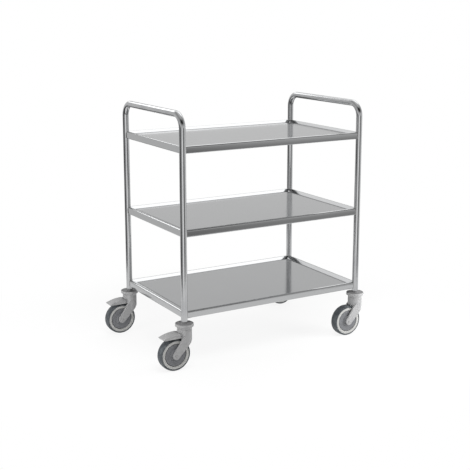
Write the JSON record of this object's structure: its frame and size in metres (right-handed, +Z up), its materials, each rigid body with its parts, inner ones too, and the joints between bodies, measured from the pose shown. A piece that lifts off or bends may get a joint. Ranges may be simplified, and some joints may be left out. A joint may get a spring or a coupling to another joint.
{
  "type": "food service trolley",
  "caption": "Stainless steel food service trolley: tiered tray shelves between bent tube end frames with loop handles, on swivel castors with foot brakes at one end.",
  "frame": {"origin": "on the floor, under the centre of the whole trolley's bounding box with the castors trailing to the left", "axes": "+X along the length towards the unbraked end, +Y across from the front to the back, +Z up out of the shelves' bases"},
  "size_m": [0.944, 0.571, 0.9745],
  "materials": {
    "tube_stainless": "polished stainless steel tube",
    "shelf_stainless": "satin stainless steel sheet",
    "channel_stainless": "mill finish stainless steel",
    "zinc_steel": "zinc plated steel",
    "painted_bolt": "grey powder coat over steel",
    "bearing_steel": "ground steel",
    "fork_plastic": "grey moulded polyamide",
    "dark_plastic": "dark grey moulded plastic",
    "expander_rubber": "black rubber",
    "tread_rubber": "blue-grey non-marking rubber",
    "core_plastic": "pale grey moulded polypropylene",
    "guard_plastic": "grey moulded plastic"
  },
  "bodies": {
    "frame": {"left_end_frame": "tube_stainless", "right_end_frame": "tube_stainless", "bottom_shelf": "shelf_stainless", "bottom_shelf_stiffeners": "channel_stainless", "middle_shelf": "shelf_stainless", "middle_shelf_stiffeners": "channel_stainless", "top_shelf": "shelf_stainless", "top_shelf_stiffeners": "channel_stainless", "castor_stems": "zinc_steel", "stem_caps": "dark_plastic", "stem_expanders": "expander_rubber", "expander_cones": "dark_plastic"},
    "front_left_castor": {"front_left_fork": "fork_plastic", "front_left_swivel_bearing": "bearing_steel", "front_left_axle_bolt": "painted_bolt", "front_left_axle_nut": "zinc_steel", "front_left_axle_spacer": "zinc_steel", "front_left_pedal_pin": "zinc_steel", "front_left_brake_spring": "bearing_steel"},
    "front_left_wheel": {"front_left_tyre": "tread_rubber", "front_left_wheel_core": "core_plastic", "front_left_wheel_bearings": "bearing_steel", "front_left_thread_guards": "guard_plastic"},
    "front_left_pedal": {"front_left_brake_pedal": "fork_plastic", "front_left_brake_shoe": "dark_plastic"},
    "rear_left_castor": {"rear_left_fork": "fork_plastic", "rear_left_swivel_bearing": "bearing_steel", "rear_left_axle_bolt": "painted_bolt", "rear_left_axle_nut": "zinc_steel", "rear_left_axle_spacer": "zinc_steel", "rear_left_pedal_pin": "zinc_steel", "rear_left_brake_spring": "bearing_steel"},
    "rear_left_wheel": {"rear_left_tyre": "tread_rubber", "rear_left_wheel_core": "core_plastic", "rear_left_wheel_bearings": "bearing_steel", "rear_left_thread_guards": "guard_plastic"},
    "rear_left_pedal": {"rear_left_brake_pedal": "fork_plastic", "rear_left_brake_shoe": "dark_plastic"},
    "front_right_castor": {"front_right_fork": "fork_plastic", "front_right_swivel_bearing": "bearing_steel", "front_right_axle_bolt": "painted_bolt", "front_right_axle_nut": "zinc_steel", "front_right_axle_spacer": "zinc_steel"},
    "front_right_wheel": {"front_right_tyre": "tread_rubber", "front_right_wheel_core": "core_plastic", "front_right_wheel_bearings": "bearing_steel", "front_right_thread_guards": "guard_plastic"},
    "rear_right_castor": {"rear_right_fork": "fork_plastic", "rear_right_swivel_bearing": "bearing_steel", "rear_right_axle_bolt": "painted_bolt", "rear_right_axle_nut": "zinc_steel", "rear_right_axle_spacer": "zinc_steel"},
    "rear_right_wheel": {"rear_right_tyre": "tread_rubber", "rear_right_wheel_core": "core_plastic", "rear_right_wheel_bearings": "bearing_steel", "rear_right_thread_guards": "guard_plastic"}
  },
  "joints": [
    {"name": "front_left_swivel", "type": "hinge", "parent": "frame", "child": "front_left_castor", "pos_m": [-0.3635, -0.25, 0.158], "axis": [0, 0, 1], "continuous": true},
    {"name": "front_left_roll", "type": "hinge", "parent": "front_left_castor", "child": "front_left_wheel", "pos_m": [-0.4095, -0.25, 0.0625], "axis": [0, 1, 0], "continuous": true},
    {"name": "front_left_brake", "type": "hinge", "parent": "front_left_castor", "child": "front_left_pedal", "pos_m": [-0.3855, -0.25, 0.134], "axis": [0, -1, 0], "range_deg": [0, 12]},
    {"name": "rear_left_swivel", "type": "hinge", "parent": "frame", "child": "rear_left_castor", "pos_m": [-0.3635, 0.25, 0.158], "axis": [0, 0, 1], "continuous": true},
    {"name": "rear_left_roll", "type": "hinge", "parent": "rear_left_castor", "child": "rear_left_wheel", "pos_m": [-0.4095, 0.25, 0.0625], "axis": [0, 1, 0], "continuous": true},
    {"name": "rear_left_brake", "type": "hinge", "parent": "rear_left_castor", "child": "rear_left_pedal", "pos_m": [-0.3855, 0.25, 0.134], "axis": [0, -1, 0], "range_deg": [0, 12]},
    {"name": "front_right_swivel", "type": "hinge", "parent": "frame", "child": "front_right_castor", "pos_m": [0.4365, -0.25, 0.158], "axis": [0, 0, 1], "continuous": true},
    {"name": "front_right_roll", "type": "hinge", "parent": "front_right_castor", "child": "front_right_wheel", "pos_m": [0.3905, -0.25, 0.0625], "axis": [0, 1, 0], "continuous": true},
    {"name": "rear_right_swivel", "type": "hinge", "parent": "frame", "child": "rear_right_castor", "pos_m": [0.4365, 0.25, 0.158], "axis": [0, 0, 1], "continuous": true},
    {"name": "rear_right_roll", "type": "hinge", "parent": "rear_right_castor", "child": "rear_right_wheel", "pos_m": [0.3905, 0.25, 0.0625], "axis": [0, 1, 0], "continuous": true}
  ]
}
